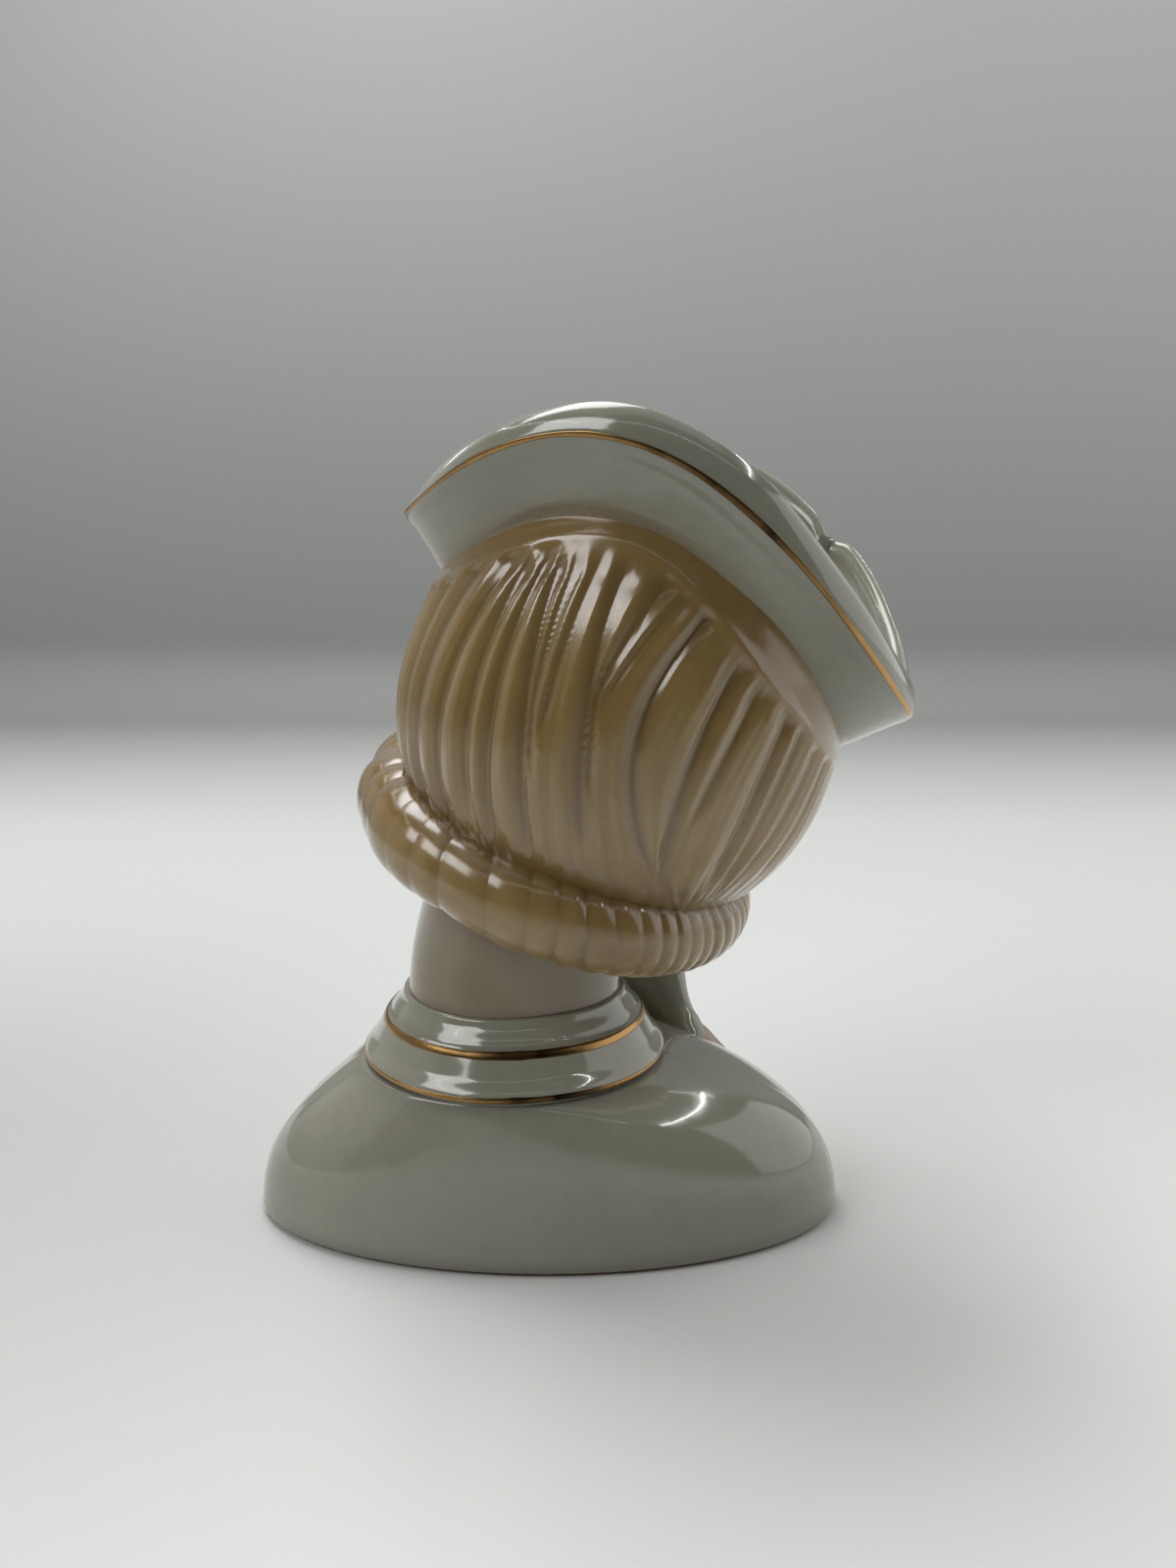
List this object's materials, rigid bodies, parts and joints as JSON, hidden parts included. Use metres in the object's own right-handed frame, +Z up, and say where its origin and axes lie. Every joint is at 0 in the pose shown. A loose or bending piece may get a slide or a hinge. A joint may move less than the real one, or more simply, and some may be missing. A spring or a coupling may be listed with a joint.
{
  "type": "head vase",
  "caption": "Glazed ceramic lady's head vase: leaning head in a turned-up hat, rolled hair, collar and gloved hand, hollow and open at the top.",
  "frame": {"origin": "middle of the flat underside, under the bust's widest place", "axes": "+Z up, the face looks towards -Y, +X is the figure's left"},
  "size_m": [0.1094, 0.0817, 0.1354],
  "materials": {
    "glazed_ceramic": "glossy"
  },
  "bodies": {
    "root": {"head_vase": "glazed_ceramic"}
  },
  "joints": []
}
